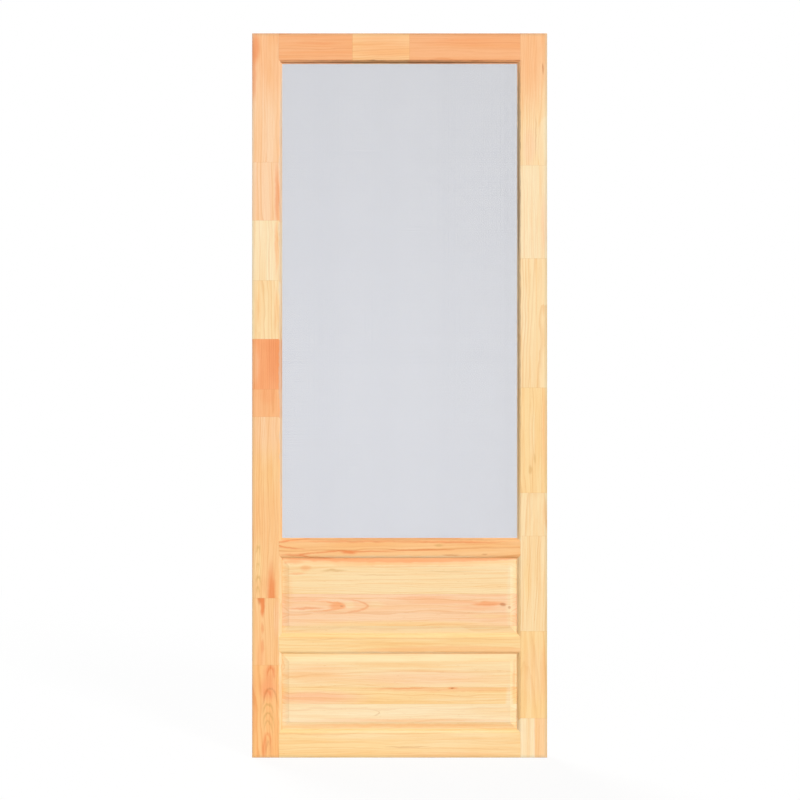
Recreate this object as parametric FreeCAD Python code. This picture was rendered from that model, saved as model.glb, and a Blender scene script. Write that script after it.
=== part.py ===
import FreeCAD, Part
import os

from FreeCAD import Vector

# Wooden screen door leaf in finger-jointed pine: a coped and stuck frame with two raised panels
# below and one tall insect screen above, held in a rear rabbet by a vinyl spline.
# Millimetres. X runs across the leaf from the hinge edge, Z runs up from the bottom edge,
# and Y runs through the thickness, with 0 at mid-thickness and the front face on the -Y side.

# Overall sizes: a stock 33 x 81 in leaf, 1 1/8 in thick
DOOR_WIDTH = 838.0
DOOR_HEIGHT = 2057.0
DOOR_THICKNESS = 28.6

# Flat faces of the frame, not counting the moulded inner edges
STILE_FACE = 76.0
TOP_RAIL_FACE = 76.0
LOCK_RAIL_FACE = 41.0
PANEL_RAIL_FACE = 41.0
BOTTOM_RAIL_FACE = 70.5
PANEL_OPENING = 231.0

# Moulded inner edge: a quirk, a quarter-round ovolo and a flat fillet
QUIRK = 2.2
OVOLO_RADIUS = 6.5
FILLET = 2.0

# Groove for the panels and the rail ends, in the middle of the thickness
GROOVE_WIDTH = 6.0
GROOVE_DEPTH = 10.0

# Eased outer arrises
LONG_EASE = 1.5
END_EASE = 1.0

# Blind mortise and tenon joints, with the wood left outside each mortise
MORTISE_WALL = 38.0
TENON_HAUNCH = 20.0
GLUE_GAP = 0.1
TENON_END_GAP = 1.0

# Raised panels
PANEL_THICKNESS = 19.0
BEVEL_WIDTH = 20.0
FIELD_STEP = 0.5
PANEL_CHEEK_GAP = 0.15
PANEL_EXPANSION = 2.5

# Screen, its rear rabbet and its spline
SCREEN_THICKNESS = 0.5
SPLINE_DIAMETER = 3.4
SPLINE_CLEARANCE = 0.1
SPLINE_RECESS = 0.4
SPLINE_SETBACK = 5.0
RABBET_MARGIN = 5.5

# Plain grid of openings that stands for the woven mesh, and is as open as the weave
MESH_COLUMNS = 12
MESH_ROWS = 24
MESH_OPEN_SHARE = 0.63

# Share of a quarter circle's radius that its middle point keeps along each axis
DIAGONAL = 0.5**0.5

# Sizes that follow from those above
HALF = DOOR_THICKNESS / 2
STICKING_WIDTH = OVOLO_RADIUS + FILLET
STICKING_DEPTH = QUIRK + OVOLO_RADIUS
GROOVE_FACE = GROOVE_WIDTH / 2
SIGHT_LEFT = STILE_FACE + STICKING_WIDTH
SIGHT_RIGHT = DOOR_WIDTH - SIGHT_LEFT
GROOVE_BOTTOM = SIGHT_LEFT - GROOVE_DEPTH
GROOVE_INSET = GROOVE_DEPTH - STICKING_WIDTH

# Heights of the rails' flat faces, from the bottom up
LOWER_PANEL_FOOT = BOTTOM_RAIL_FACE
PANEL_RAIL_FOOT = LOWER_PANEL_FOOT + PANEL_OPENING
UPPER_PANEL_FOOT = PANEL_RAIL_FOOT + PANEL_RAIL_FACE
LOCK_RAIL_FOOT = UPPER_PANEL_FOOT + PANEL_OPENING
SCREEN_FOOT = LOCK_RAIL_FOOT + LOCK_RAIL_FACE
TOP_RAIL_FOOT = DOOR_HEIGHT - TOP_RAIL_FACE
SIGHT_FOOT = SCREEN_FOOT + STICKING_WIDTH
SIGHT_HEAD = TOP_RAIL_FOOT - STICKING_WIDTH

# The screen lies on the rabbet floor, in the plane of the groove's front wall
SCREEN_PLANE = -GROOVE_FACE
SPLINE_GROOVE_WIDTH = SPLINE_DIAMETER + 2 * (SCREEN_THICKNESS + SPLINE_CLEARANCE)
SPLINE_GROOVE_DEPTH = SCREEN_THICKNESS + SPLINE_CLEARANCE + SPLINE_DIAMETER + SPLINE_RECESS
RABBET_WIDTH = SPLINE_SETBACK + SPLINE_GROOVE_WIDTH + RABBET_MARGIN


def box(low, high):
    """Box between two opposite corners."""
    return Part.makeBox(high.x - low.x, high.y - low.y, high.z - low.z, low)


def moulded_edge():
    """Segments of a moulded edge, front to back, u outward from the flat face and v through the leaf.

    Each segment is a start, a point on the arc or None, and an end.
    """
    front = [
        (0, -HALF),
        (0, -HALF + QUIRK),
        (OVOLO_RADIUS, -HALF + STICKING_DEPTH),
        (STICKING_WIDTH, -HALF + STICKING_DEPTH),
        (STICKING_WIDTH, -GROOVE_FACE),
        (STICKING_WIDTH - GROOVE_DEPTH, -GROOVE_FACE),
    ]
    back = [(u, -v) for u, v in reversed(front)]
    points = front + back
    crown = (OVOLO_RADIUS * DIAGONAL, -HALF + STICKING_DEPTH - OVOLO_RADIUS * DIAGONAL)
    middles = [None] * (len(points) - 1)
    middles[1] = crown
    middles[-2] = (crown[0], -crown[1])
    return list(zip(points, middles, points[1:]))


def eased_edge(radius):
    """Segments of a square outer edge with both arrises rounded, front to back."""
    dip = radius * (1 - DIAGONAL)
    front = ((-radius, -HALF), (-dip, -HALF + dip), (0, -HALF + radius))
    back = tuple((u, -v) for u, v in reversed(front))
    return [front, (front[-1], None, back[0]), back]


def profile(first_edge, second_edge, width, place):
    """Cross-section of a frame member: an edge at u = 0, an edge at u = width and flat faces between."""
    second = [tuple(p and (width + p[0], p[1]) for p in s) for s in second_edge]
    first = [tuple(p and (-p[0], p[1]) for p in reversed(s)) for s in reversed(first_edge)]
    back_face = (second[-1][2], None, first[0][0])
    front_face = (first[-1][2], None, second[0][0])
    edges = []
    for start, middle, end in second + [back_face] + first + [front_face]:
        if middle is None:
            edges.append(Part.LineSegment(place(*start), place(*end)).toShape())
        else:
            edges.append(Part.Arc(place(*start), place(*middle), place(*end)).toShape())
    return Part.Face(Part.Wire(edges))


def stile_blank():
    """Hinge stile as run through the moulder, with its end arrises eased."""
    section = profile(eased_edge(LONG_EASE), moulded_edge(), STILE_FACE, lambda u, v: Vector(u, v, 0))
    blank = section.extrude(Vector(0, 0, DOOR_HEIGHT))
    return blank.makeFillet(END_EASE, end_arrises(blank))


def end_arrises(blank):
    """Edges round the outside of a stile's ends: along the front face, the outer edge and the back face."""
    chosen = []
    for edge in blank.Edges:
        centre = edge.CenterOfMass
        level = edge.BoundBox.ZLength < END_EASE
        on_face = abs(centre.y) > GROOVE_FACE + QUIRK and centre.x < STILE_FACE - QUIRK
        on_outer_edge = centre.x < LONG_EASE
        if level and (on_face or on_outer_edge):
            chosen.append(edge)
    return chosen


def mirrored(shape):
    """The same shape on the latch side of the leaf."""
    return shape.mirror(Vector(DOOR_WIDTH / 2, 0, 0), Vector(1, 0, 0))


def tenon(foot, head, gap, end_gap):
    """Tenon at the hinge end of a rail, or its mortise where a gap is added all round and at the end."""
    half_thickness = GROOVE_FACE - GLUE_GAP + gap
    low = Vector(MORTISE_WALL + TENON_END_GAP - end_gap, -half_thickness, foot - gap)
    high = Vector(SIGHT_LEFT + GROOVE_DEPTH, half_thickness, head + gap)
    return box(low, high)


def rail(first_edge, second_edge, foot, face, peg, stiles):
    """Rail with coped ends that fit over the stiles' moulded edges, stub tongues and tenons."""
    section = profile(first_edge, second_edge, face, lambda u, v: Vector(GROOVE_BOTTOM, v, foot + u))
    bar = section.extrude(Vector(DOOR_WIDTH - 2 * GROOVE_BOTTOM, 0, 0))
    for stile in stiles:
        bar = bar.cut(stile)
    return bar.fuse([peg, mirrored(peg)]).removeSplitter()


def rectangle(foot, head, inset, y):
    """Rectangular wire in the plane y, inset from the sight lines of an opening."""
    left = SIGHT_LEFT + inset
    right = SIGHT_RIGHT - inset
    low = foot + STICKING_WIDTH + inset
    high = head - STICKING_WIDTH - inset
    points = [Vector(left, y, low), Vector(right, y, low), Vector(right, y, high), Vector(left, y, high)]
    return Part.makePolygon(points + points[:1])


def raised_panel(foot):
    """Panel raised on both faces: a tongue in the groove, four bevels and a stepped flat field."""
    head = foot + PANEL_OPENING
    half_tongue = GROOVE_FACE - PANEL_CHEEK_GAP
    half_field = PANEL_THICKNESS / 2
    half_bevel = half_field - FIELD_STEP
    outset = PANEL_EXPANSION - GROOVE_DEPTH
    tongue_face = Part.Face(rectangle(foot, head, outset, -half_tongue))
    field_face = Part.Face(rectangle(foot, head, BEVEL_WIDTH, -half_field))
    solids = [field_face.extrude(Vector(0, PANEL_THICKNESS, 0))]
    for side in (-1, 1):
        outer = rectangle(foot, head, 0, side * half_tongue)
        inner = rectangle(foot, head, BEVEL_WIDTH, side * half_bevel)
        solids.append(Part.makeLoft([outer, inner], True, True))
    tongue = tongue_face.extrude(Vector(0, 2 * half_tongue, 0))
    return tongue.fuse(solids).removeSplitter()


def screen_block(outset, front, back):
    """Block over the screen opening, larger than the sight lines by an outset, between two depths."""
    low = Vector(SIGHT_LEFT - outset, front, SIGHT_FOOT - outset)
    high = Vector(SIGHT_RIGHT + outset, back, SIGHT_HEAD + outset)
    return box(low, high)


def groove_ring(wall, depth):
    """Ring that fills the spline groove to a depth, less a wall thickness on each side."""
    front = SCREEN_PLANE - depth
    outer = screen_block(SPLINE_SETBACK + SPLINE_GROOVE_WIDTH - wall, front, SCREEN_PLANE)
    inner = screen_block(SPLINE_SETBACK + wall, front, SCREEN_PLANE)
    return outer.cut(inner)


def mesh_openings():
    """Rows and columns of equal openings between the sight lines, with bars that stand for the threads."""
    pitch_x = (SIGHT_RIGHT - SIGHT_LEFT) / MESH_COLUMNS
    pitch_z = (SIGHT_HEAD - SIGHT_FOOT) / MESH_ROWS
    share = MESH_OPEN_SHARE**0.5
    size = Vector(pitch_x * share, SCREEN_THICKNESS, pitch_z * share)
    first = Vector(SIGHT_LEFT + (pitch_x - size.x) / 2, SCREEN_PLANE, SIGHT_FOOT + (pitch_z - size.z) / 2)
    openings = []
    for column in range(MESH_COLUMNS):
        for row in range(MESH_ROWS):
            low = first + Vector(column * pitch_x, 0, row * pitch_z)
            openings.append(box(low, low + size))
    return openings


def screen_mesh():
    """Insect screen: an open sheet with its margin pressed round the inside of the spline groove."""
    sheet = screen_block(SPLINE_SETBACK + SCREEN_THICKNESS, SCREEN_PLANE, SCREEN_PLANE + SCREEN_THICKNESS)
    lining = groove_ring(0, SPLINE_GROOVE_DEPTH)
    hollow = groove_ring(SCREEN_THICKNESS, SPLINE_GROOVE_DEPTH - SCREEN_THICKNESS)
    return sheet.fuse(lining.cut(hollow)).removeSplitter().cut(mesh_openings())


def splines():
    """Four lengths of round spline: the upright ones run the full height, the others fit between."""
    radius = SPLINE_DIAMETER / 2
    centre = SPLINE_SETBACK + SPLINE_GROOVE_WIDTH / 2
    depth = SCREEN_PLANE - SPLINE_RECESS - radius
    left = SIGHT_LEFT - centre
    foot = SIGHT_FOOT - centre
    head = SIGHT_HEAD + centre
    across = Vector(1, 0, 0)
    upright_start = Vector(left, depth, foot - radius)
    upright = Part.makeCylinder(radius, head - foot + 2 * radius, upright_start, Vector(0, 0, 1))
    butt = left + radius + SPLINE_CLEARANCE
    length = DOOR_WIDTH - 2 * butt
    return {
        "spline_left": upright,
        "spline_right": mirrored(upright),
        "spline_bottom": Part.makeCylinder(radius, length, Vector(butt, depth, foot), across),
        "spline_top": Part.makeCylinder(radius, length, Vector(butt, depth, head), across),
    }


def frame():
    """Two stiles and four rails, with the mortises, the screen's rabbet and the spline groove cut in."""
    stiles = [stile_blank()]
    stiles.append(mirrored(stiles[0]))
    moulded = moulded_edge()
    eased = eased_edge(END_EASE)
    layout = {
        "bottom_rail": (eased, moulded, 0, BOTTOM_RAIL_FACE, TENON_HAUNCH, GROOVE_INSET),
        "panel_rail": (moulded, moulded, PANEL_RAIL_FOOT, PANEL_RAIL_FACE, GROOVE_INSET, GROOVE_INSET),
        "lock_rail": (moulded, moulded, LOCK_RAIL_FOOT, LOCK_RAIL_FACE, GROOVE_INSET, GROOVE_INSET),
        "top_rail": (moulded, eased, TOP_RAIL_FOOT, TOP_RAIL_FACE, GROOVE_INSET, TENON_HAUNCH),
    }
    rabbet = screen_block(RABBET_WIDTH, SCREEN_PLANE, DOOR_THICKNESS)
    spline_groove = groove_ring(0, SPLINE_GROOVE_DEPTH)
    members = {}
    mortises = []
    for name, (first_edge, second_edge, foot, face, inset_foot, inset_head) in layout.items():
        tenon_foot = foot + inset_foot
        tenon_head = foot + face - inset_head
        peg = tenon(tenon_foot, tenon_head, 0, 0)
        members[name] = rail(first_edge, second_edge, foot, face, peg, stiles)
        mortises.append(tenon(tenon_foot, tenon_head, GLUE_GAP, TENON_END_GAP))
    members["hinge_stile"] = stiles[0].cut(mortises)
    members["latch_stile"] = stiles[1].cut([mirrored(hole) for hole in mortises])
    return {name: member.cut([rabbet, spline_groove]) for name, member in members.items()}


pieces = frame()
pieces["lower_panel"] = raised_panel(LOWER_PANEL_FOOT)
pieces["upper_panel"] = raised_panel(UPPER_PANEL_FOOT)
pieces["screen_mesh"] = screen_mesh()
pieces.update(splines())

os.makedirs("parts", exist_ok=True)
for name, shape in pieces.items():
    shape.exportStep("parts/" + name + ".step")
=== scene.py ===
import bpy
import numpy as np
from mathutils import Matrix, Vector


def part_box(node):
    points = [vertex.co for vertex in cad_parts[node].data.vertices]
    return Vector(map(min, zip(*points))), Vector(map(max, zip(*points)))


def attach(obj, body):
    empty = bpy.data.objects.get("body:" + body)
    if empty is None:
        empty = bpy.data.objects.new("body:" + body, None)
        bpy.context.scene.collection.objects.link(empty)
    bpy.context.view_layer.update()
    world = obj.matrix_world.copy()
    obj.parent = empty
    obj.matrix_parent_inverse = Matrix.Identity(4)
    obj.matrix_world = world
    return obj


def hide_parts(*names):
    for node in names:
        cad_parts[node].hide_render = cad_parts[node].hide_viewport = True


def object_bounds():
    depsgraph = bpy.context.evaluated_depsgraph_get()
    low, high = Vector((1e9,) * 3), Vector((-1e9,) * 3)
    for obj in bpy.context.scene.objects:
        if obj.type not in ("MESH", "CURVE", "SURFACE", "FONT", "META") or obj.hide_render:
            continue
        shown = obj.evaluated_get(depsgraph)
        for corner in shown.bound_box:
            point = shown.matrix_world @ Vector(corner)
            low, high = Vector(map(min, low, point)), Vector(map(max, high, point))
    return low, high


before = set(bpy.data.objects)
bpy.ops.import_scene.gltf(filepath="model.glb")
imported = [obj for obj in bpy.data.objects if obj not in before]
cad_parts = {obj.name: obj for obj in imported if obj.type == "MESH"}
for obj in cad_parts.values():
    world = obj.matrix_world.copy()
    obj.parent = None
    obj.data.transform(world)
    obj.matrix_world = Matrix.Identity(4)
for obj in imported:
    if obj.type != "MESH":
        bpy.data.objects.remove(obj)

cad_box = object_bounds()

# Stiles
# The two uprights of the leaf, glued up end to end from short blocks of clear pine with finger joints,
# moulded on the inner edge and sanded bare. The rails' tenons are glued into them.


class Field:
    """A number, vector or colour that varies over a surface. Formulas on it become Math nodes."""

    def __init__(self, socket):
        self.socket = socket

    def math(self, operation, *others):
        node = self.socket.id_data.nodes.new("ShaderNodeMath")
        node.operation = operation
        for slot, value in zip(node.inputs, (self, *others)):
            feed(slot, value)
        return Field(node.outputs[0])

    def __add__(self, other):
        return self.math("ADD", other)

    def __sub__(self, other):
        return self.math("SUBTRACT", other)

    def __mul__(self, other):
        return self.math("MULTIPLY", other)

    def __truediv__(self, other):
        return self.math("DIVIDE", other)

    def __gt__(self, other):
        return self.math("GREATER_THAN", other)

    def ramp(self, start, end):
        """Smooth step from 0 at the start to 1 at the end."""
        return laid(self, "MapRange", 0, {"interpolation_type": "SMOOTHSTEP"}, self, start, end)


def feed(slot, value):
    """Links a field to a socket, or sets the socket to a plain value."""
    if isinstance(value, Field):
        slot.id_data.links.new(value.socket, slot)
    else:
        slot.default_value = value


def laid(near, kind, output, options, *values, **named):
    """Adds a shader node beside a field's node: its options, its inputs in order and by name, one output."""
    node = near.socket.id_data.nodes.new("ShaderNode" + kind)
    for key, value in options.items():
        setattr(node, key, value)
    for slot, value in zip(node.inputs, values):
        feed(slot, value)
    for key, value in named.items():
        feed(node.inputs[key], value)
    return Field(node.outputs[output])


def parts(vector):
    """The three components of a vector field."""
    x = laid(vector, "SeparateXYZ", 0, {}, vector)
    return [Field(socket) for socket in x.socket.node.outputs]


def vector_of(x, y, z):
    """Vector field from three numbers, the first of them a field."""
    return laid(x, "CombineXYZ", 0, {}, x, y, z)


def vector_math(operation, *values, output=0):
    """Arithmetic on vectors, component by component. The first of them is a field."""
    return laid(values[0], "VectorMath", output, {"operation": operation}, *values)


MIX_SLOTS = {"FLOAT": (2, 0), "VECTOR": (4, 1), "RGBA": (6, 2)}


def blended(factor, first, second, kind="RGBA", way="MIX"):
    """Mix of two numbers, vectors or colours by a factor field."""
    start, result = MIX_SLOTS[kind]
    options = {"data_type": kind}
    if kind == "RGBA":
        options["blend_type"] = way
    mixed = laid(factor, "Mix", result, options, factor)
    feed(mixed.socket.node.inputs[start], first)
    feed(mixed.socket.node.inputs[start + 1], second)
    return mixed


def noise(place, scale, shift, detail, output="Fac"):
    """Noise with its own scale along each axis, moved by a shift vector so that no two boards are alike."""
    spot = vector_math("MULTIPLY_ADD", place, scale, shift)
    return laid(spot, "TexNoise", output, {}, Vector=spot, Scale=1.0, Detail=detail, Roughness=0.55)


def new_group(name, inputs, outputs):
    """Shader node group with named sockets: its input fields and a function that sets its outputs."""
    tree = bpy.data.node_groups.new(name, "ShaderNodeTree")
    for label, kind in inputs.items():
        tree.interface.new_socket(label, in_out="INPUT", socket_type="NodeSocket" + kind)
    for label, kind in outputs.items():
        tree.interface.new_socket(label, in_out="OUTPUT", socket_type="NodeSocket" + kind)
    start = tree.nodes.new("NodeGroupInput")
    end = tree.nodes.new("NodeGroupOutput")

    def give(**fields):
        for label, field in fields.items():
            feed(end.inputs[label], field)

    return [Field(start.outputs[label]) for label in inputs], give


def placed(group, near, outputs, **inputs):
    """Puts a node group beside a field's node with its own values, and returns its outputs."""
    node = near.socket.id_data.nodes.new("ShaderNodeGroup")
    node.node_tree = bpy.data.node_groups[group]
    for label, value in inputs.items():
        feed(node.inputs[label], value)
    return [Field(node.outputs[label]) for label in outputs]


# The grain's sizes in millimetres, the ranges of its noise that show, and its tints
MILLIMETRES = (1000, 1000, 1000)
PER_METRE = 0.001
BOARD_SHIFT = (7.31, 3.17, 1.93)
RING_PITCH = 4.4
WANDER_SCALE = (0.012, 0.012, 0.0042)
WANDER_ACROSS = 22
WANDER_DEPTH = 12
RIPPLE_SCALE = (0.06, 0.06, 0.009)
RIPPLE_REACH = 5
LATE_RISE = (0.30, 0.90)
LATE_FALL = (1.0, 0.93)
WEAKEST_YEAR = 0.05
LATE_TINT = (0.88, 0.68, 0.50, 1.0)
STREAK_SCALE = (0.045, 0.045, 0.0022)
STREAK_RANGE = (0.40, 0.70)
STREAK_TINT = (0.985, 0.90, 0.79, 1.0)
BAND_SCALE = (0.17, 0.04, 0.0045)
BAND_RANGE = (0.45, 0.70)
BAND_TINT = (0.99, 0.93, 0.86, 1.0)
FIBRE_SCALE = (1.5, 0.3, 0.022)
FIBRE_RANGE = (0.35, 0.75)
FIBRE_TINT = (0.97, 0.91, 0.84, 1.0)
RESIN_SCALE = (0.9, 0.9, 0.05)
RESIN_RANGE = (0.70, 0.78)
RESIN_STRENGTH = 0.5
RESIN_TINT = (0.78, 0.55, 0.36, 1.0)
SANDED_ROUGHNESS = 0.6
FIBRE_ROUGHNESS = 0.2
LATE_SMOOTHNESS = 0.08
FIBRE_HEIGHT = 0.00003
LATE_HEIGHT = 0.00002


def pine_grain():
    """Growth rings of a pine log, met wherever a board's surface cuts them.

    In millimetres, the log's heart lies at an offset across and behind the board and leans along it.
    The distance from that line, rippled by noise and divided by the ring pitch, counts the years. Each year
    darkens slowly to its latewood line and ends sharply. Fibres, broad streaks and resin canals are
    noise drawn out along the grain.
    """
    (place, heart, bare, figure), give = new_group(
        "pine_grain",
        {"Place": "Vector", "Heart": "Vector", "Tone": "Color", "Figure": "Float"},
        {"Color": "Color", "Roughness": "Float", "Height": "Float"},
    )
    spot = vector_math("MULTIPLY", place, MILLIMETRES)
    shift = vector_math("MULTIPLY", heart, BOARD_SHIFT)
    across, depth, along = parts(spot)
    heart_across, heart_depth, lean = parts(heart)
    wander = parts(noise(spot, WANDER_SCALE, shift, 2.0, "Color"))
    ripple = noise(spot, RIPPLE_SCALE, shift, 2.0)
    off_across = across - heart_across + (wander[0] - 0.5) * WANDER_ACROSS
    off_depth = depth - heart_depth - lean * along * PER_METRE + (wander[1] - 0.5) * WANDER_DEPTH
    radius = (off_across * off_across + off_depth * off_depth).math("SQRT") + ripple * RIPPLE_REACH
    years = radius * (1 / RING_PITCH)
    year = years.math("FRACT")
    count = years.math("FLOOR") + heart_depth
    vigour = laid(years, "TexWhiteNoise", 0, {"noise_dimensions": "1D"}, W=count)
    vigour = vigour * (1 - WEAKEST_YEAR) + WEAKEST_YEAR
    late = year.ramp(*LATE_RISE) * year.ramp(*LATE_FALL) * vigour
    fibre = noise(spot, FIBRE_SCALE, shift, 3.0)
    streak = noise(spot, STREAK_SCALE, shift, 3.0).ramp(*STREAK_RANGE)
    band = noise(spot, BAND_SCALE, heart, 2.0).ramp(*BAND_RANGE)
    resin = noise(spot, RESIN_SCALE, heart, 1.0).ramp(*RESIN_RANGE) * RESIN_STRENGTH
    colour = blended(late * figure, bare, LATE_TINT, way="MULTIPLY")
    colour = blended(streak, colour, STREAK_TINT, way="MULTIPLY")
    colour = blended(band, colour, BAND_TINT, way="MULTIPLY")
    colour = blended(fibre.ramp(*FIBRE_RANGE), colour, FIBRE_TINT, way="MULTIPLY")
    colour = blended(resin, colour, RESIN_TINT, way="MULTIPLY")
    give(
        Color=colour,
        Roughness=(fibre - 0.5) * FIBRE_ROUGHNESS - late * LATE_SMOOTHNESS + SANDED_ROUGHNESS,
        Height=fibre * FIBRE_HEIGHT + late * LATE_HEIGHT,
    )


def wavered(place, scale, shift, detail, reach):
    """A place moved to and fro by noise, up to half the reach each way."""
    waver = noise(place, scale, shift, detail, "Color")
    moved = vector_math("MULTIPLY_ADD", waver, reach, place)
    return vector_math("SUBTRACT", moved, tuple(width / 2 for width in reach))


MARK_WAVER_SCALE = (30, 30, 30)
MARK_WAVER = (0.008, 0.0, 0.008)


def soft_mark():
    """A stain, pitch streak or fleck in the wood, longer along the grain than across, with a soft edge.

    The distance from its middle, in shares of its reach each way, is 1 at the edge. The place is wavered by
    noise first. The mark is full within its core, a share of the reach, and fades out towards the edge. The
    same mark also lays painted shade and painted light on the mouldings, and painted shade on a panel's
    edge.
    """
    (place, middle, reach, under, overlay, strength, core), give = new_group(
        "soft_mark",
        {
            "Place": "Vector",
            "Middle": "Vector",
            "Reach": "Vector",
            "Under": "Color",
            "Stain": "Color",
            "Strength": "Float",
            "Core": "Float",
        },
        {"Color": "Color"},
    )
    spot = wavered(place, MARK_WAVER_SCALE, middle, 2.0, MARK_WAVER)
    away = vector_math("DIVIDE", vector_math("SUBTRACT", spot, middle), reach)
    distance = vector_math("LENGTH", away, output="Value")
    give(Color=blended(distance.ramp(1.0, core) * strength, under, overlay))


ARCH_WAVER_SCALE = (110, 110, 50)
ARCH_WAVER = (0.009, 0.0, 0.016)
ARCH_LEG_FADE = (1.2, 0.6)
ARCH_DEPTH_FADE = (0.0, -0.004)


def arch_line():
    """A pointed latewood line on the front face, a parabola with its tip towards one end of the board.

    The line lies behind its tip by its length times the square of the share of its half-width across. How
    far a place is from it is the level of that formula over its slope. Size is the half-width, the
    thickness and the length, and the legs fade out beyond the half-width.
    """
    (place, tip, size, under, overlay, strength), give = new_group(
        "arch_line",
        {
            "Place": "Vector",
            "Tip": "Vector",
            "Size": "Vector",
            "Under": "Color",
            "Stain": "Color",
            "Strength": "Float",
        },
        {"Color": "Color"},
    )
    spot = wavered(place, ARCH_WAVER_SCALE, tip, 3.0, ARCH_WAVER)
    across, _, along = parts(vector_math("DIVIDE", vector_math("SUBTRACT", spot, tip), size))
    half_width, thickness, length = parts(size)
    level = (along + across * across).math("ABSOLUTE")
    turn = across * 2 / half_width
    slope = (turn * turn + (length * length).math("POWER", -1)).math("SQRT")
    line = (level / slope / thickness).ramp(1.0, 0.0) * across.math("ABSOLUTE").ramp(*ARCH_LEG_FADE)
    front = parts(place)[1].ramp(*ARCH_DEPTH_FADE)
    give(Color=blended(line * front * strength, under, overlay))


pine_grain()
soft_mark()
arch_line()


def tone(red, green, blue):
    """Linear colour from eight-bit sRGB numbers."""
    shown = np.array([red, green, blue]) / 255
    linear = np.where(shown > 0.04045, ((shown + 0.055) / 1.055) ** 2.4, shown / 12.92)
    return (*linear.tolist(), 1.0)


CREAM = tone(253, 232, 192)
STRAW = tone(253, 226, 178)
BUTTER = tone(253, 220, 162)
BLUSH = tone(253, 214, 174)
HONEY = tone(252, 203, 145)
AMBER = tone(251, 190, 136)
RUST = tone(250, 174, 120)
COPPER = tone(248, 183, 130)
GOLD = tone(253, 199, 136)
RUSSET = tone(240, 142, 80)
PITCH = tone(200, 122, 66)
OLIVE = tone(216, 162, 86)
# Painted shade colours for the mouldings round the screen: brown on the top rail, grey-brown on the latch
# stile
PAINTED_SHADE_BROWN = tone(140, 98, 64)
PAINTED_SHADE_GREY = tone(150, 132, 116)
ASH = tone(222, 206, 188)

SOFT = 0.3
FIRM = 0.85
MARK_DEPTH = 0.03
OVER_DEPTH_FADE = (-0.0040, -0.0055)
FRONT = cad_box[0][1]
DOOR_WIDTH, BACK, DOOR_HEIGHT = cad_box[1]
BARE_WOOD_GLOSS = 0.3
GRAIN_RELIEF = 0.5
FINGER_LENGTH = 0.010
FINGER_PITCH = 0.0036
GLUE_LINE = 0.00025
GLUE_TINT = (0.84, 0.70, 0.56, 1.0)
ARRIS_REACH = 0.011
ARRIS_TINT = (0.82, 0.87, 0.93, 1.0)


def marked(coords, colour, marks):
    """Lays soft marks over a tone: the middle and reach in x and z, colour, strength and core of each."""
    for (x, z), (reach_x, reach_z), overlay, strength, core in marks:
        (colour,) = placed(
            "soft_mark",
            coords,
            ("Color",),
            Place=coords,
            Middle=(x, FRONT, z),
            Reach=(reach_x, MARK_DEPTH, reach_z),
            Under=colour,
            Stain=overlay,
            Strength=strength,
            Core=core,
        )
    return colour


def arched(place, colour, arches):
    """Lays latewood arches over a tone: tip and size across and along, thickness, colour, strength."""
    for (across, along), (half_width, length), thickness, overlay, strength in arches:
        (colour,) = placed(
            "arch_line",
            place,
            ("Color",),
            Place=place,
            Tip=(across, 0.0, along),
            Size=(half_width, thickness, length),
            Under=colour,
            Stain=overlay,
            Strength=strength,
        )
    return colour


def pine_material(name, run, centre, boards, ends=None, over=(), arches=(), side_by_side=False):
    """Bare pine board stock on Object coordinates, with its grain along one axis.

    Boards follow each other along the grain at finger joints, whose edge is a zigzag through the thickness,
    or lie side by side at straight glue lines. Each is its start in metres, its tone, its heart, its figure
    and its marks: stains, and on the lock rail painted shade along its upper edge. Ends are the two cut ends
    along the grain, how far they darken the wood, and their tint. Over are marks across all the boards that
    stop in front of the screen's rabbet: painted shade, painted light and a greyer tint on the mouldings,
    colour marks and painted shade on the panels. Arches are latewood lines, measured from the centre. The
    leaf's outer arrises are a little darker.
    """
    material = bpy.data.materials.new(name)
    material.use_nodes = True
    shader = material.node_tree.nodes["Principled BSDF"]
    shader.inputs["Specular IOR Level"].default_value = BARE_WOOD_GLOSS
    coords = Field(material.node_tree.nodes.new("ShaderNodeTexCoord").outputs["Object"])
    x, depth, z = parts(coords)
    across, along = (x, z) if run == "Z" else (z, x)
    zigzag = (depth + 1.0).math("PINGPONG", FINGER_PITCH) * (FINGER_LENGTH / FINGER_PITCH)
    position = across if side_by_side else along + zigzag
    _, colour, heart, figure, marks = boards[0]
    colour = marked(coords, colour, marks)
    glue = depth * 0.0
    for start, next_tone, next_heart, next_figure, marks in boards[1:]:
        passed = position > start
        colour = blended(passed, colour, marked(coords, next_tone, marks))
        heart = blended(passed, heart, next_heart, "VECTOR")
        figure = blended(passed, figure, next_figure, "FLOAT")
        glue = glue + position.math("COMPARE", start, GLUE_LINE)
    place = vector_of(across - centre, depth, along)
    before_rabbet = depth.ramp(*OVER_DEPTH_FADE)
    colour = blended(before_rabbet, colour, marked(coords, colour, over))
    colour = arched(place, colour, arches)
    colour, roughness, height = placed(
        "pine_grain",
        place,
        ("Color", "Roughness", "Height"),
        Place=place,
        Heart=heart,
        Tone=colour,
        Figure=figure,
    )
    colour = blended(glue, colour, GLUE_TINT, way="MULTIPLY")
    if ends:
        (low, high), reach, tint = ends
        cut = (along - low).ramp(reach, 0.0) + (along - high).ramp(-reach, 0.0)
        colour = blended(cut, colour, tint, way="MULTIPLY")
    from_sides = x.math("MINIMUM", x * -1.0 + DOOR_WIDTH)
    from_ends = z.math("MINIMUM", z * -1.0 + DOOR_HEIGHT)
    arris = from_sides.math("MINIMUM", from_ends).ramp(ARRIS_REACH, 0.0)
    arris = arris * depth.math("ABSOLUTE").ramp(BACK - ARRIS_REACH, BACK)
    colour = blended(arris, colour, ARRIS_TINT, way="MULTIPLY")
    feed(shader.inputs["Base Color"], colour)
    feed(shader.inputs["Roughness"], roughness)
    relief = laid(place, "Bump", 0, {}, Strength=GRAIN_RELIEF, Distance=1.0, Height=height)
    feed(shader.inputs["Normal"], relief)
    return material


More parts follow.
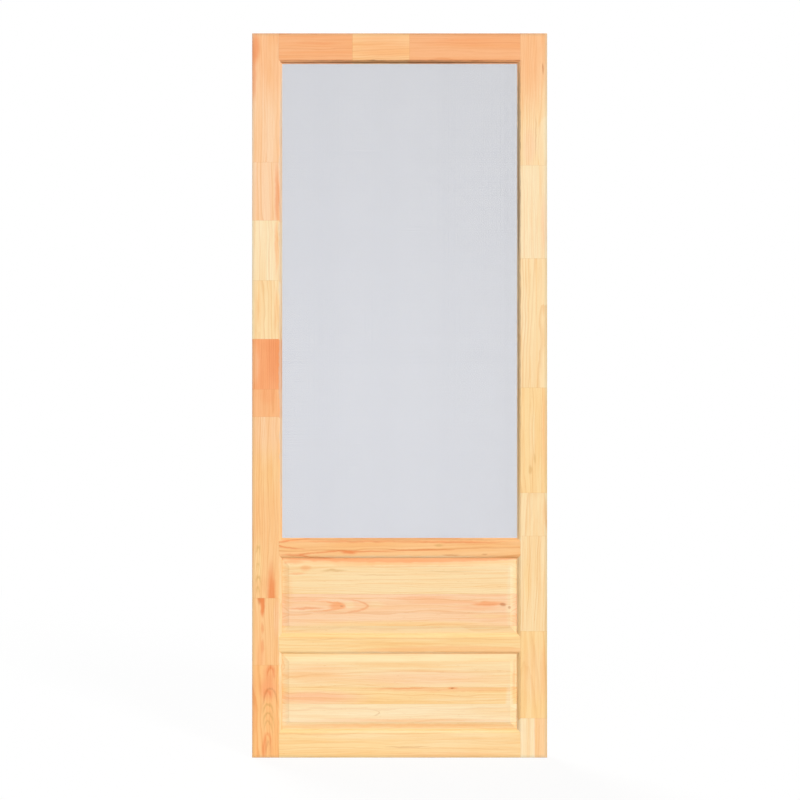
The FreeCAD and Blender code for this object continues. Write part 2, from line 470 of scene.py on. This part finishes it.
HINGE_BLOCKS = [
    (
        0.000,
        GOLD,
        (-40, 60, 10),
        0.7,
        [
            ((0.050, 0.240), (0.026, 0.040), RUST, 0.6, SOFT),
            ((0.046, 0.195), (0.034, 0.044), RUST, 0.75, SOFT),
            ((0.035, 0.030), (0.010, 0.050), RUSSET, 0.5, SOFT),
            ((0.004, 0.150), (0.012, 0.130), RUST, 0.4, SOFT),
            ((0.040, 0.212), (0.030, 0.045), RUSSET, 0.15, SOFT),
        ],
    ),
    (
        0.2646,
        HONEY,
        (-60, 50, 8),
        0.6,
        [
            ((0.026, 0.452), (0.015, 0.026), RUSSET, 0.95, SOFT),
            ((0.030, 0.425), (0.009, 0.036), RUSSET, 0.9, SOFT),
            ((0.020, 0.448), (0.006, 0.018), PITCH, 0.3, SOFT),
            ((0.029, 0.367), (0.006, 0.022), RUSSET, 0.45, SOFT),
            ((0.029, 0.315), (0.006, 0.028), RUSSET, 0.45, SOFT),
            ((0.025, 0.290), (0.016, 0.070), RUST, 0.35, SOFT),
            ((0.069, 0.400), (0.011, 0.080), BLUSH, 0.7, SOFT),
        ],
    ),
    (
        0.455,
        HONEY,
        (60, 50, 8),
        0.6,
        [
            ((0.040, 0.940), (0.060, 0.140), BLUSH, 0.7, SOFT),
            ((0.018, 0.540), (0.018, 0.120), BUTTER, 0.7, SOFT),
            ((0.055, 0.440), (0.017, 0.145), RUSSET, 0.8, SOFT),
            ((0.030, 0.490), (0.040, 0.034), RUSSET, 0.12, SOFT),
            ((0.040, 0.810), (0.060, 0.110), BUTTER, 0.3, SOFT),
        ],
    ),
    (0.970, AMBER, (20, -70, 40), 0.8, [((0.045, 1.030), (0.030, 0.040), RUST, 0.5, SOFT)]),
    (
        1.048,
        RUST,
        (80, 30, 10),
        0.8,
        [
            ((0.003, 1.120), (0.020, 0.110), BLUSH, 0.5, SOFT),
            ((0.066, 1.135), (0.034, 0.100), RUSSET, 0.38, SOFT),
            ((0.048, 1.172), (0.030, 0.030), RUSSET, 0.2, SOFT),
        ],
    ),
    (
        1.1905,
        STRAW,
        (-40, 60, 20),
        0.6,
        [
            ((0.020, 1.270), (0.012, 0.080), HONEY, 0.3, SOFT),
            ((0.069, 1.270), (0.008, 0.090), HONEY, 0.6, SOFT),
        ],
    ),
    (1.357, CREAM, (60, 40, 5), 0.5, [((0.070, 1.450), (0.008, 0.110), AMBER, 0.6, SOFT)]),
    (1.5276, BLUSH, (-50, 40, 10), 0.5, [((0.071, 1.600), (0.009, 0.120), RUSSET, 0.5, SOFT)]),
    (
        1.6926,
        BLUSH,
        (60, 60, 8),
        0.4,
        [
            ((0.045, 2.050), (0.075, 0.230), AMBER, 0.75, SOFT),
            ((0.008, 2.015), (0.019, 0.058), RUSSET, 0.62, SOFT),
            ((0.004, 1.940), (0.013, 0.110), RUSSET, 0.5, SOFT),
            ((0.064, 1.985), (0.022, 0.070), BLUSH, 0.4, SOFT),
        ],
    ),
]
LATCH_BLOCKS = [
    (0.000, CREAM, (70, 40, 8), 0.25, [((0.845, 0.050), (0.047, 0.400), HONEY, 0.75, FIRM)]),
    (
        0.114,
        BUTTER,
        (-20, 50, 40),
        0.6,
        [
            ((0.830, 0.240), (0.016, 0.110), HONEY, 0.5, SOFT),
            ((0.800, 0.240), (0.045, 0.120), BLUSH, 0.3, SOFT),
        ],
    ),
    (0.361, STRAW, (60, 40, 10), 0.6, [((0.780, 0.500), (0.012, 0.090), BUTTER, 0.7, SOFT)]),
    (0.6315, STRAW, (10, 50, 30), 0.6, [((0.834, 0.690), (0.012, 0.060), HONEY, 0.4, SOFT)]),
    (
        0.754,
        BUTTER,
        (-50, 40, 10),
        0.6,
        [
            ((0.832, 0.930), (0.014, 0.160), HONEY, 0.6, SOFT),
            ((0.797, 0.910), (0.014, 0.110), STRAW, 0.6, SOFT),
            ((0.790, 0.818), (0.008, 0.018), OLIVE, 0.4, SOFT),
            ((0.803, 0.848), (0.004, 0.022), OLIVE, 0.4, SOFT),
        ],
    ),
    (1.0525, STRAW, (30, 50, 20), 0.6, [((0.775, 1.250), (0.012, 0.140), CREAM, 0.6, SOFT)]),
    (1.4195, CREAM, (-60, 30, 10), 0.5, [((0.830, 1.520), (0.012, 0.120), BLUSH, 0.6, SOFT)]),
    (
        1.684,
        STRAW,
        (60, 50, 8),
        0.4,
        [
            ((0.790, 2.060), (0.090, 0.330), AMBER, 0.85, SOFT),
            ((0.787, 1.735), (0.026, 0.080), BLUSH, 0.7, SOFT),
            ((0.833, 1.745), (0.0265, 0.082), CREAM, 0.8, FIRM),
            ((0.8045, 1.765), (0.003, 0.085), PITCH, 0.28, SOFT),
            ((0.826, 1.957), (0.003, 0.022), PITCH, 0.7, SOFT),
        ],
    ),
]
# Painted light: a paler band on the hinge stile's moulding beside the panels, the side that faces the key
# light. Beside the screen the moulding gets a greyer tint.
HINGE_MOULDING_PAINTED_LIGHT_AND_GREY_TINT = [
    ((0.081, 0.300), (0.008, 0.400), CREAM, 0.85, SOFT),
    ((0.082, 1.320), (0.0062, 0.690), ASH, 0.6, FIRM),
]
# Painted shade: grey-brown bands on the latch stile's moulding along the screen's right edge, and a warmer,
# slightly darker tint on it beside the panels
LATCH_MOULDING_PAINTED_SHADE = [
    ((0.7580, 1.300), (0.0066, 0.740), PAINTED_SHADE_GREY, 0.42, SOFT),
    ((0.7575, 1.700), (0.0052, 0.290), PAINTED_SHADE_GREY, 0.45, FIRM),
    ((0.7590, 0.320), (0.0060, 0.290), BUTTER, 0.8, SOFT),
]
HINGE_ARCHES = [
    ((0.015, 0.258), (0.013, 0.030), 0.0070, RUSSET, 0.65),
    ((0.006, 0.190), (0.013, 0.024), 0.0070, RUSSET, 0.55),
    ((0.014, 0.198), (0.024, 0.055), 0.0050, PITCH, 0.35),
    ((0.007, 0.152), (0.016, 0.026), 0.0055, OLIVE, 0.50),
    ((0.008, 0.128), (0.017, 0.036), 0.0055, OLIVE, 0.50),
    ((0.007, 0.104), (0.014, 0.030), 0.0050, OLIVE, 0.40),
    ((0.006, 0.068), (0.014, 0.052), 0.0060, RUSSET, 0.45),
    ((0.008, 0.045), (0.008, 0.050), 0.0050, PITCH, 0.25),
    ((-0.021, 0.598), (0.007, 0.016), 0.0060, OLIVE, 0.45),
    ((-0.021, 0.550), (0.006, 0.014), 0.0055, OLIVE, 0.35),
    ((-0.020, 0.514), (0.008, 0.016), 0.0060, OLIVE, 0.45),
    ((-0.022, 0.482), (0.006, 0.014), 0.0055, OLIVE, 0.40),
]
STILE_FACE = 0.076
END_GRAIN = ((0.0, DOOR_HEIGHT), 0.0014, (0.86, 0.72, 0.56, 1.0))


def dress(node, material):
    """Gives a CAD node its finish."""
    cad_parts[node].material_slots[0].material = material


for stile, middle, blocks, moulding, arches in (
    ("hinge_stile", STILE_FACE / 2, HINGE_BLOCKS, HINGE_MOULDING_PAINTED_LIGHT_AND_GREY_TINT, HINGE_ARCHES),
    ("latch_stile", DOOR_WIDTH - STILE_FACE / 2, LATCH_BLOCKS, LATCH_MOULDING_PAINTED_SHADE, ()),
):
    dress(stile, pine_material("pine_" + stile, "Z", middle, blocks, END_GRAIN, moulding, arches))

# Rails
# Four cross pieces of the same pine, coped at the ends over the stiles' moulding and tenoned into them.
# The top rail is finger-jointed, the others are single boards.

TOP_BLOCKS = [
    (0.000, COPPER, (40, 45, 6), 0.6, [((0.180, 2.030), (0.090, 0.006), RUSSET, 0.25, SOFT)]),
    (0.287, HONEY, (50, 50, 8), 0.6, [((0.370, 2.020), (0.120, 0.060), AMBER, 0.6, SOFT)]),
    (0.449, COPPER, (-44, 50, 6), 0.6, [((0.600, 2.036), (0.170, 0.014), RUST, 0.3, SOFT)]),
]
# Painted shade: a dark brown band on the top rail's moulding along the screen's top edge
TOP_MOULDING_PAINTED_SHADE = [((0.420, 1.9765), (0.370, 0.0055), PAINTED_SHADE_BROWN, 0.6, SOFT)]
LOCK_BLOCKS = [
    (
        0.000,
        HONEY,
        (34, 46, 4),
        0.9,
        [
            # Dark lines along the rail. The two at heights 0.614 and 0.612, on its upper edge, are painted
            # shade at the quirk; the others are grain lines.
            ((0.300, 0.614), (0.230, 0.004), RUSSET, 0.5, SOFT),
            ((0.300, 0.586), (0.150, 0.003), RUSSET, 0.7, SOFT),
            ((0.275, 0.583), (0.030, 0.007), RUSSET, 0.8, SOFT),
            ((0.120, 0.576), (0.060, 0.004), RUSSET, 0.6, SOFT),
            ((0.470, 0.590), (0.160, 0.003), RUSSET, 0.5, SOFT),
            ((0.570, 0.612), (0.200, 0.004), RUSSET, 0.6, SOFT),
            ((0.565, 0.575), (0.035, 0.003), PITCH, 0.5, SOFT),
            ((0.660, 0.577), (0.012, 0.003), PITCH, 0.4, SOFT),
            ((0.530, 0.603), (0.020, 0.005), OLIVE, 0.4, SOFT),
        ],
    )
]
# Painted light: a paler band on the lock rail's lower moulding that lifts the shade under the rail. Painted
# shade: a dark line along its upper moulding, by the screen.
LOCK_MOULDING_PAINTED_LIGHT_AND_SHADE = [
    ((0.420, 0.569), (0.360, 0.006), CREAM, 0.6, SOFT),
    ((0.420, 0.619), (0.400, 0.006), PITCH, 0.27, 0.6),
]
LOCK_ARCHES = [
    ((-0.019, 0.138), (0.013, -0.140), 0.0035, RUSSET, 0.7),
    ((0.012, 0.072), (0.016, -0.090), 0.0040, RUSSET, 0.7),
]
PANEL_RAIL_BLOCKS = [
    (
        0.000,
        BUTTER,
        (-44, 50, 4),
        0.5,
        [
            ((0.560, 0.302), (0.300, 0.020), HONEY, 0.75, 0.6),
            ((0.440, 0.352), (0.040, 0.004), OLIVE, 0.3, SOFT),
        ],
    )
]
# Painted light: a paler band on the panel rail's lower moulding that lifts the shade under the rail
PANEL_RAIL_MOULDING_PAINTED_LIGHT = [((0.420, 0.297), (0.360, 0.006), CREAM, 0.7, SOFT)]
BOTTOM_BLOCKS = [
    (
        0.000,
        BUTTER,
        (50, 50, 4),
        0.5,
        [
            ((0.420, 0.066), (0.400, 0.020), STRAW, 0.8, SOFT),
            ((0.620, 0.035), (0.260, 0.050), STRAW, 0.6, SOFT),
            ((0.440, 0.030), (0.080, 0.003), PITCH, 0.3, SOFT),
            ((0.560, 0.008), (0.260, 0.012), HONEY, 0.5, SOFT),
        ],
    )
]
SHOULDERS = ((STILE_FACE, DOOR_WIDTH - STILE_FACE), 0.0007, (0.70, 0.54, 0.40, 1.0))
RAILS = {
    "top_rail": (2.019, TOP_BLOCKS, TOP_MOULDING_PAINTED_SHADE, ()),
    "lock_rail": (0.594, LOCK_BLOCKS, LOCK_MOULDING_PAINTED_LIGHT_AND_SHADE, LOCK_ARCHES),
    "panel_rail": (0.322, PANEL_RAIL_BLOCKS, PANEL_RAIL_MOULDING_PAINTED_LIGHT, ()),
    "bottom_rail": (0.035, BOTTOM_BLOCKS, (), ()),
}
for rail, (middle, blocks, moulding, arches) in RAILS.items():
    dress(rail, pine_material("pine_" + rail, "X", middle, blocks, SHOULDERS, moulding, arches))

# Raised panels
# Two boards glued up edge to edge from pine strips, bevelled on four sides and on both faces.
# They float without glue in the grooves of the stiles and rails.

UPPER_STRIPS = [
    (0.343, STRAW, (-60, 50, 4), 0.3, []),
    (
        0.373,
        BLUSH,
        (-20, 50, 4),
        0.6,
        [
            ((0.670, 0.402), (0.080, 0.009), STRAW, 0.5, SOFT),
            ((0.420, 0.376), (0.420, 0.018), BUTTER, 0.8, SOFT),
        ],
    ),
    (
        0.410,
        BLUSH,
        (-70, 50, 4),
        0.6,
        [
            ((0.150, 0.423), (0.070, 0.005), RUSSET, 0.55, SOFT),
            ((0.275, 0.434), (0.024, 0.014), CREAM, 0.6, SOFT),
            ((0.350, 0.434), (0.034, 0.014), CREAM, 0.5, SOFT),
            ((0.150, 0.449), (0.080, 0.009), RUST, 0.35, SOFT),
            ((0.640, 0.424), (0.100, 0.009), RUST, 0.30, SOFT),
            ((0.238, 0.429), (0.028, 0.012), RUST, 0.8, SOFT),
            ((0.255, 0.430), (0.008, 0.003), PITCH, 0.6, SOFT),
            ((0.480, 0.452), (0.130, 0.010), RUST, 0.35, SOFT),
            ((0.560, 0.440), (0.200, 0.009), RUST, 0.30, SOFT),
            ((0.670, 0.436), (0.060, 0.010), RUST, 0.85, SOFT),
            ((0.712, 0.4335), (0.013, 0.006), PITCH, 0.65, SOFT),
        ],
    ),
    (
        0.464,
        STRAW,
        (110, 50, 6),
        0.4,
        [
            ((0.420, 0.553), (0.440, 0.013), AMBER, 0.6, SOFT),
            ((0.420, 0.567), (0.440, 0.016), COPPER, 0.95, 0.75),
            ((0.152, 0.538), (0.022, 0.014), AMBER, 0.6, SOFT),
            ((0.232, 0.531), (0.050, 0.005), OLIVE, 0.45, SOFT),
            ((0.128, 0.522), (0.034, 0.005), AMBER, 0.6, SOFT),
            ((0.360, 0.518), (0.080, 0.002), OLIVE, 0.35, SOFT),
            ((0.560, 0.528), (0.100, 0.003), OLIVE, 0.25, SOFT),
        ],
    ),
]
UPPER_OVER = [
    ((0.735, 0.505), (0.014, 0.060), CREAM, 0.85, SOFT),
    ((0.733, 0.440), (0.016, 0.110), CREAM, 0.6, SOFT),
    ((0.7305, 0.427), (0.006, 0.006), PITCH, 0.5, SOFT),
    ((0.095, 0.470), (0.028, 0.090), HONEY, 0.4, SOFT),
    ((0.115, 0.557), (0.050, 0.012), COPPER, 0.7, SOFT),
]
UPPER_ARCHES = [
    ((-0.028, 0.262), (0.016, 0.080), 0.0050, RUST, 0.8),
    ((-0.028, 0.328), (0.022, 0.075), 0.0045, RUSSET, 0.45),
]
LOWER_STRIPS = [
    (0.071, STRAW, (-140, 50, 4), 0.5, [((0.420, 0.090), (0.450, 0.009), HONEY, 0.9, SOFT)]),
    (0.0996, CREAM, (-20, 50, 4), 0.4, [((0.420, 0.105), (0.420, 0.008), BLUSH, 0.6, SOFT)]),
    (
        0.151,
        BUTTER,
        (-70, 50, 4),
        0.6,
        [
            ((0.180, 0.168), (0.200, 0.030), BLUSH, 0.9, SOFT),
            ((0.170, 0.172), (0.160, 0.018), RUST, 0.35, SOFT),
            ((0.540, 0.193), (0.300, 0.011), HONEY, 0.85, SOFT),
            ((0.430, 0.196), (0.120, 0.003), RUSSET, 0.5, SOFT),
            ((0.570, 0.196), (0.020, 0.004), RUSSET, 0.6, SOFT),
            ((0.570, 0.196), (0.006, 0.003), PITCH, 0.7, SOFT),
            ((0.600, 0.168), (0.190, 0.016), STRAW, 0.6, SOFT),
        ],
    ),
    (
        0.199,
        STRAW,
        (80, 50, 6),
        0.4,
        [
            ((0.480, 0.225), (0.300, 0.030), BLUSH, 0.7, SOFT),
            ((0.180, 0.238), (0.140, 0.040), AMBER, 0.35, SOFT),
        ],
    ),
]
# The amber patch along the lower panel's right edge, beside the latch stile, is painted shade.
LOWER_OVER = [
    ((0.732, 0.150), (0.016, 0.075), CREAM, 0.9, SOFT),
    ((0.7475, 0.225), (0.010, 0.085), AMBER, 0.6, SOFT),
]
LOWER_ARCHES = [((-0.060, 0.362), (0.008, 0.016), 0.0030, OLIVE, 0.4)]
for panel, middle, strips, over, arches in (
    ("upper_panel", 0.458, UPPER_STRIPS, UPPER_OVER, UPPER_ARCHES),
    ("lower_panel", 0.186, LOWER_STRIPS, LOWER_OVER, LOWER_ARCHES),
):
    pine = pine_material("pine_" + panel, "X", middle, strips, over=over, arches=arches, side_by_side=True)
    dress(panel, pine)

# Insect screen
# Fibreglass yarn coated in grey vinyl, 18 by 16 threads to the inch, heat-set where the threads cross.
# It is drawn flat over the floor of the rear rabbet and its margin is pressed into the spline groove.

THREAD = 0.00031
INCH = 0.0254
WARP_PITCH = INCH / 18
WEFT_PITCH = INCH / 16
WARP_SEED = 18
WEFT_SEED = 16
LOOM_SPREAD = 0.10
SCREEN_LOW, SCREEN_HIGH = (np.array(corner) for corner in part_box("screen_mesh"))
SHEET = 0.0005
GROOVE_WIDTH = 0.0046
WEFT_DEPTH = SCREEN_HIGH[1] - THREAD / 2
WARP_DEPTH = SCREEN_HIGH[1] - SHEET + THREAD / 2
LINING_RADIUS = (GROOVE_WIDTH - SHEET) / 2
LINING_CENTRE = -0.0051


def tucked(low, high, flat):
    """Section of the screen from one groove to the other, as points (position, depth).

    Half a turn round each spline's centre, then up the groove's inner wall and over its edge to the flat.
    """
    turn = np.radians([180, 225, 270, 315, 360])
    bend = np.stack([np.cos(turn), np.sin(turn)], 1) * LINING_RADIUS
    bend += (low + GROOVE_WIDTH / 2, LINING_CENTRE)
    lip = np.array([[low + GROOVE_WIDTH + SHEET, flat]])
    side = np.concatenate([bend, lip])
    other = side[::-1] * (-1, 1) + (low + high, 0)
    return np.concatenate([side, other])


def thread_places(low, high, pitch, seed):
    """Places of the threads between the two grooves, with the small uneven spacing of a loom."""
    low = low + GROOVE_WIDTH + SHEET
    high = high - GROOVE_WIDTH - SHEET
    count = round((high - low) / pitch)
    uneven = np.random.default_rng(seed).normal(0, LOOM_SPREAD, count)
    return low + (high - low) * (np.arange(count) + 0.5 + uneven) / count


def thread_tubes(path, axis, places, half):
    """Square threads: one path in a plane, repeated at places along the third axis.

    The corners of a station lie half a thread to each side along the path's normal and along that axis.
    """
    run = np.gradient(path, axis=0)
    normal = np.stack([-run[:, 1], run[:, 0]], 1) / np.linalg.norm(run, axis=1)[:, None]
    corner = np.array([(-1, -1), (1, -1), (1, 1), (-1, 1)]) * half
    plane = path[:, None] + normal[:, None] * corner[None, :, :1]
    plane = np.broadcast_to(plane, (len(places), *plane.shape))
    third = np.broadcast_to(places[:, None, None] + corner[None, None, :, 1], plane.shape[:3])
    columns = [plane[..., 0], plane[..., 1], third]
    order = {"Z": (0, 1, 2), "X": (2, 1, 0)}[axis]
    verts = np.stack([columns[k] for k in order], -1).reshape(-1, 3)
    stations = len(path)
    index = np.arange(len(places) * stations * 4).reshape(len(places), stations, 4)
    after = np.roll(index, -1, axis=2)
    walls = np.stack([index[:, :-1], after[:, :-1], after[:, 1:], index[:, 1:]], -1).reshape(-1, 4)
    caps = np.concatenate([index[:, 0, ::-1], index[:, -1]])
    return verts, np.concatenate([walls, caps])


def joined(groups):
    """One list of vertices and faces from several."""
    start = np.cumsum([0] + [len(verts) for verts, _ in groups[:-1]])
    faces = [faces + first for (_, faces), first in zip(groups, start)]
    return np.concatenate([verts for verts, _ in groups]), np.concatenate(faces)


def new_piece(name, verts, faces, material):
    """Mesh piece from whole arrays, smooth shaded, riding on the leaf."""
    mesh = bpy.data.meshes.new(name)
    mesh.from_pydata(verts, [], faces)
    mesh.shade_smooth()
    mesh.materials.append(material)
    piece = bpy.data.objects.new(name, mesh)
    bpy.context.scene.collection.objects.link(piece)
    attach(piece, "root")
    return piece


MOTTLE_LIGHTER = 1.25
MOTTLE_ROUGHNESS = 0.2


def vinyl_material(name, colour, roughness, mottle_scale):
    """Matt vinyl whose colour and roughness are mottled a little by noise on Object coordinates."""
    material = bpy.data.materials.new(name)
    material.use_nodes = True
    shader = material.node_tree.nodes["Principled BSDF"]
    coords = Field(material.node_tree.nodes.new("ShaderNodeTexCoord").outputs["Object"])
    mottle = noise(coords, (mottle_scale,) * 3, (0.0, 0.0, 0.0), 3.0)
    lighter = tuple(MOTTLE_LIGHTER * value for value in colour[:3]) + (1.0,)
    feed(shader.inputs["Base Color"], blended(mottle, colour, lighter))
    feed(shader.inputs["Roughness"], (mottle - 0.5) * MOTTLE_ROUGHNESS + roughness)
    return material


weft_path = tucked(SCREEN_LOW[0], SCREEN_HIGH[0], WEFT_DEPTH)
warp_path = tucked(SCREEN_LOW[2], SCREEN_HIGH[2], WARP_DEPTH)
warp_places = thread_places(SCREEN_LOW[0], SCREEN_HIGH[0], WARP_PITCH, WARP_SEED)
weft_places = thread_places(SCREEN_LOW[2], SCREEN_HIGH[2], WEFT_PITCH, WEFT_SEED)
verts, faces = joined(
    [
        thread_tubes(weft_path, "Z", weft_places, THREAD / 2),
        thread_tubes(warp_path, "X", warp_places, THREAD / 2),
    ]
)
MESH_GREY = (0.22, 0.25, 0.37, 1.0)
mesh_vinyl = vinyl_material("vinyl_mesh", MESH_GREY, roughness=0.6, mottle_scale=40.0)
screen = new_piece("insect_screen", verts, faces, mesh_vinyl)
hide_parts("screen_mesh")

# Spline
# Four lengths of round ribbed vinyl cord, rolled into the groove over the screen to hold it taut.

RIBS = 12
RIB_DEPTH = 0.00012
SPLINE_STATIONS = 80
PRESS = 0.00006
DIP_RATE = 190
SWELL_RATE = 71


def ribbed_cord(low, high, axis):
    """Round cord whose radius has a cosine rib round it, and whose line dips as a roller left it.

    Rings of points at even stations along the axis, closed by a flat fan at each end.
    """
    radius = (high[1] - low[1]) / 2
    turn = np.linspace(0, 2 * np.pi, 4 * RIBS, endpoint=False)
    reach = radius - PRESS - RIB_DEPTH * (0.5 - 0.5 * np.cos(RIBS * turn))
    along = np.linspace(low[axis], high[axis], SPLINE_STATIONS)
    dip = PRESS * np.sin(along * DIP_RATE) * np.sin(along * SWELL_RATE + 1)
    side = 2 - axis
    verts = np.empty((SPLINE_STATIONS, len(turn), 3))
    verts[..., axis] = along[:, None]
    verts[..., 1] = (low[1] + high[1]) / 2 + dip[:, None] + reach * np.sin(turn)
    verts[..., side] = (low[side] + high[side]) / 2 + reach * np.cos(turn)
    index = np.arange(SPLINE_STATIONS * len(turn)).reshape(SPLINE_STATIONS, -1)
    after = np.roll(index, -1, axis=1)
    walls = np.stack([index[:-1], after[:-1], after[1:], index[1:]], -1).reshape(-1, 4)
    caps = [index[0][::-1].tolist(), index[-1].tolist()]
    if axis == 2:
        walls = walls[:, ::-1]
        caps = [cap[::-1] for cap in caps]
    return verts.reshape(-1, 3), walls.tolist() + caps


SPLINE_GREY = (0.045, 0.045, 0.048, 1.0)
spline_vinyl = vinyl_material("vinyl_spline", SPLINE_GREY, roughness=0.5, mottle_scale=60.0)
for side, axis in {"left": 2, "right": 2, "bottom": 0, "top": 0}.items():
    verts, faces = ribbed_cord(*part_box("spline_" + side), axis)
    cord = new_piece("ribbed_spline_" + side, verts, faces, spline_vinyl)
    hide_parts("spline_" + side)

# Studio
# A pale floor, a soft key light from the upper right, a broad weak one in front, one behind on the left,
# an even white surround, and a camera square on to the front.

FLOOR_HALF = 30.0
floor_mesh = bpy.data.meshes.new("floor")
corners = np.array([(-1, -1, 0), (1, -1, 0), (1, 1, 0), (-1, 1, 0)]) * FLOOR_HALF
floor_mesh.from_pydata(corners, [], [(0, 1, 2, 3)])
floor = bpy.data.objects.new("floor", floor_mesh)
bpy.context.scene.collection.objects.link(floor)

SHADE_RANGE = (4.0, 1.2)
FLOOR_SHADE = 0.10
BOUNCE_RANGE = (1.6, 0.8)
NEAR_BOUNCE = 0.3
FAR_BOUNCE = 0.15


def seen_rays(tree):
    """1 for the rays that show the surround itself, to the camera or in gloss and glass, else 0."""
    rays = tree.nodes.new("ShaderNodeLightPath")
    seen = Field(rays.outputs["Is Camera Ray"]).math("MAXIMUM", Field(rays.outputs["Is Glossy Ray"]))
    return seen.math("MAXIMUM", Field(rays.outputs["Is Transmission Ray"]))


paper = bpy.data.materials.new("white_floor")
paper.use_nodes = True
tree = paper.node_tree
tree.nodes.remove(tree.nodes["Principled BSDF"])
coords = Field(tree.nodes.new("ShaderNodeTexCoord").outputs["Object"])
away = vector_math("DISTANCE", coords, (DOOR_WIDTH / 2, 0.0, 0.0), output="Value")
near = away.ramp(*SHADE_RANGE)
glow = laid(away, "Emission", 0, {}, Strength=near * -FLOOR_SHADE + 1.0)
shade = near * FLOOR_SHADE
matt = laid(away, "BsdfDiffuse", 0, {}, Color=vector_of(shade, shade, shade))
both = laid(away, "AddShader", 0, {}, glow, matt)
bounce = away.ramp(*BOUNCE_RANGE) * (NEAR_BOUNCE - FAR_BOUNCE) + FAR_BOUNCE
plain = laid(away, "BsdfDiffuse", 0, {}, Color=vector_of(bounce, bounce, bounce))
surface = laid(away, "MixShader", 0, {}, seen_rays(tree), plain, both)
feed(tree.nodes["Material Output"].inputs["Surface"], surface)
floor_mesh.materials.append(paper)

AMBIENT = 0.47
world = bpy.data.worlds.new("white_surround")
world.use_nodes = True
bpy.context.scene.world = world
surround = world.node_tree.nodes["Background"]
feed(surround.inputs["Color"], (1.0, 1.0, 1.0, 1.0))
feed(surround.inputs["Strength"], seen_rays(world.node_tree) * (1 - AMBIENT) + AMBIENT)


def soft_sun(name, strength, spread, tilt, turn):
    """Distant soft light: tilt from straight down, then turn about the upright axis, in degrees."""
    light = bpy.data.lights.new(name, "SUN")
    light.energy = strength
    light.angle = np.radians(spread)
    lamp = bpy.data.objects.new(name, light)
    lamp.rotation_euler = (np.radians(tilt), 0, np.radians(turn))
    bpy.context.scene.collection.objects.link(lamp)


soft_sun("key", strength=1.84, spread=14, tilt=74, turn=36)
soft_sun("front_fill", strength=1.04, spread=60, tilt=84, turn=-8)
soft_sun("back_fill", strength=2.0, spread=30, tilt=60, turn=-150)

SENSOR = 36.0
VIEW_WIDTH = 2.2715
VIEW_DISTANCE = 4.0
VIEW_CENTRE = (0.4200, 1.0156)
camera = bpy.data.cameras.new("camera")
camera.sensor_width = SENSOR
camera.lens = SENSOR * VIEW_DISTANCE / VIEW_WIDTH
eye = bpy.data.objects.new("camera", camera)
eye.location = (VIEW_CENTRE[0], FRONT - VIEW_DISTANCE, VIEW_CENTRE[1])
eye.rotation_euler = (np.radians(90), 0, 0)
bpy.context.scene.collection.objects.link(eye)
bpy.context.scene.camera = eye
bpy.context.scene.view_settings.view_transform = "Standard"
